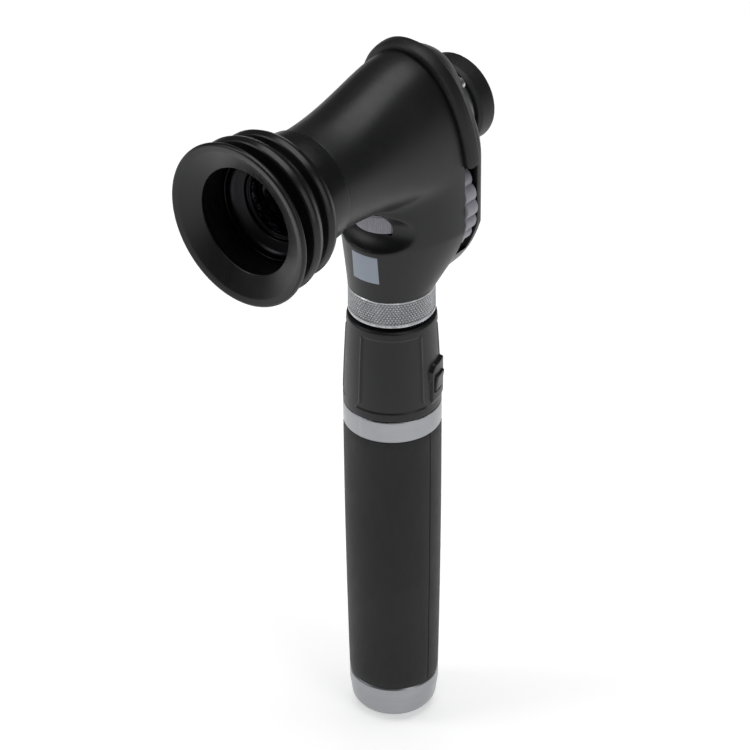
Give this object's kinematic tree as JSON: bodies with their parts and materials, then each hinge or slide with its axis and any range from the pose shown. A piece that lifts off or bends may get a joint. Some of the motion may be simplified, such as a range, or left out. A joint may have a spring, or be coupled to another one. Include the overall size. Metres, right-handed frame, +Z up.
{
  "type": "ophthalmoscope",
  "caption": "Hand-held wide-field ophthalmoscope: rechargeable handle with a turning brightness sleeve, bayonet head, bellows eyecup, aperture dial and focus wheel.",
  "frame": {"origin": "centre of the base cap's resting face", "axes": "+Z up the handle, -Y towards the patient's eyecup, +Y towards the examiner's eyepiece, +X to the examiner's left hand side seen from the eyecup as right"},
  "size_m": [0.0504, 0.0989, 0.2336],
  "materials": {
    "grip_plastic": "fine matte moulded, dark",
    "shell_plastic": "satin black moulded",
    "eyecup_rubber": "smooth black rubber with a glossy lip",
    "band_rubber": "soft matte black",
    "steel": "satin turned steel",
    "tube_metal": "plain drawn tube",
    "frame_metal": "black anodised frame",
    "black_metal": "black optical lacquer",
    "wheel_plastic": "light grey moulded",
    "insulator": "natural insulating plastic",
    "board": "circuit board",
    "contact_brass": "plated contact",
    "spring_steel": "bright spring wire",
    "battery_sleeve": "shrink sleeve",
    "lens_glass": "coated optical glass",
    "filter_glass": "green filter glass",
    "mirror_face": "front-silvered",
    "badge_print": "printed grey-blue label"
  },
  "bodies": {
    "handle": {"grip_shell_front": "grip_plastic", "grip_shell_rear": "grip_plastic", "handle_tube": "tube_metal", "trim_ring": "steel", "handle_plug": "insulator", "bayonet_post": "steel", "post_insulator": "insulator", "post_contact": "contact_brass", "rheostat_board": "board"},
    "rheostat": {"rheostat_sleeve": "shell_plastic", "sleeve_bush": "insulator", "wiper_arm": "contact_brass", "button_spring": "spring_steel"},
    "lock_button": {"lock_button": "shell_plastic"},
    "battery": {"battery_cell": "battery_sleeve", "battery_terminal": "contact_brass"},
    "cap": {"base_cap": "steel", "charge_contact": "contact_brass", "cap_spring": "spring_steel"},
    "head": {"socket_ring": "steel", "contact_insulator": "insulator", "head_contact_pin": "contact_brass", "chassis_base": "frame_metal", "chassis_plate": "frame_metal", "front_bulkhead": "frame_metal", "guide_rod": "steel", "lamp_module": "steel", "lamp_bulb": "lens_glass", "condenser_holder": "frame_metal", "condenser_lens": "lens_glass", "dial_brackets": "frame_metal", "dial_pin": "steel", "dial_detent_spring": "spring_steel", "mirror": "mirror_face", "mirror_bracket": "frame_metal", "focus_axle": "steel", "objective_tube": "black_metal", "objective_lens": "lens_glass", "objective_retainer": "black_metal", "front_shell": "shell_plastic", "rear_cover": "shell_plastic", "brow_band": "band_rubber", "cover_screws": "steel", "eyepiece_tube": "steel", "eyepiece_lens": "lens_glass", "eyepiece_cup": "band_rubber", "badge": "badge_print", "eyecup_collar": "eyecup_rubber", "eyecup_bellows": "eyecup_rubber"},
    "focus_wheel": {"focus_wheel": "wheel_plastic", "focus_gear": "wheel_plastic"},
    "focus_screw": {"focus_screw": "steel", "focus_pinion": "contact_brass"},
    "focus_carriage": {"focus_carriage": "frame_metal", "focus_lens": "lens_glass"},
    "aperture_dial": {"aperture_dial": "wheel_plastic", "green_filter": "filter_glass"},
    "eyecup": {"eyecup_lip": "eyecup_rubber"}
  },
  "joints": [
    {"name": "head_twist", "type": "hinge", "parent": "handle", "child": "head", "pos_m": [0, 0, 0.15], "axis": [0, 0, 1], "range_deg": [0, 90]},
    {"name": "rheostat_turn", "type": "hinge", "parent": "handle", "child": "rheostat", "pos_m": [0, 0, 0.13], "axis": [0, 0, 1], "range_deg": [0, 120]},
    {"name": "lock_button_press", "type": "slide", "parent": "rheostat", "child": "lock_button", "axis": [-0.9588, -0.284, 0], "range_m": [0, 0.0012], "stiffness_N_per_m": 800, "springref_m": -0.0006, "deforming": ["button_spring"]},
    {"name": "battery_drop", "type": "slide", "parent": "handle", "child": "battery", "axis": [0, 0, -1], "range_m": [0, 0.003]},
    {"name": "cap_turn", "type": "hinge", "parent": "battery", "child": "cap", "pos_m": [0, 0, 0.01], "axis": [0, 0, -1], "range_deg": [0, 720]},
    {"name": "focus_wheel_turn", "type": "hinge", "parent": "head", "child": "focus_wheel", "pos_m": [0, 0.0134, 0.1821], "axis": [0, 1, 0], "range_deg": [-150, 150]},
    {"name": "focus_screw_turn", "type": "hinge", "parent": "head", "child": "focus_screw", "pos_m": [0.008, 0, 0.19567], "axis": [0, 1, 0], "range_deg": [-376, 376]},
    {"name": "focus_slide", "type": "slide", "parent": "head", "child": "focus_carriage", "axis": [0, 1, 0], "range_m": [-0.004, 0.004]},
    {"name": "aperture_dial_turn", "type": "hinge", "parent": "head", "child": "aperture_dial", "pos_m": [0, -0.00294, 0.182], "axis": [0, 0, 1], "continuous": true},
    {"name": "eyecup_press", "type": "slide", "parent": "head", "child": "eyecup", "axis": [0, 1, 0], "range_m": [0, 0.006], "stiffness_N_per_m": 600, "springref_m": -0.0005, "deforming": ["eyecup_bellows"]}
  ],
  "couplings": [
    {"joint": "battery_drop", "follows": "cap_turn", "m_per_rad": 0.000238},
    {"joint": "focus_screw_turn", "follows": "focus_wheel_turn", "ratio": -2.5},
    {"joint": "focus_slide", "follows": "focus_wheel_turn", "m_per_rad": 0.0015}
  ]
}
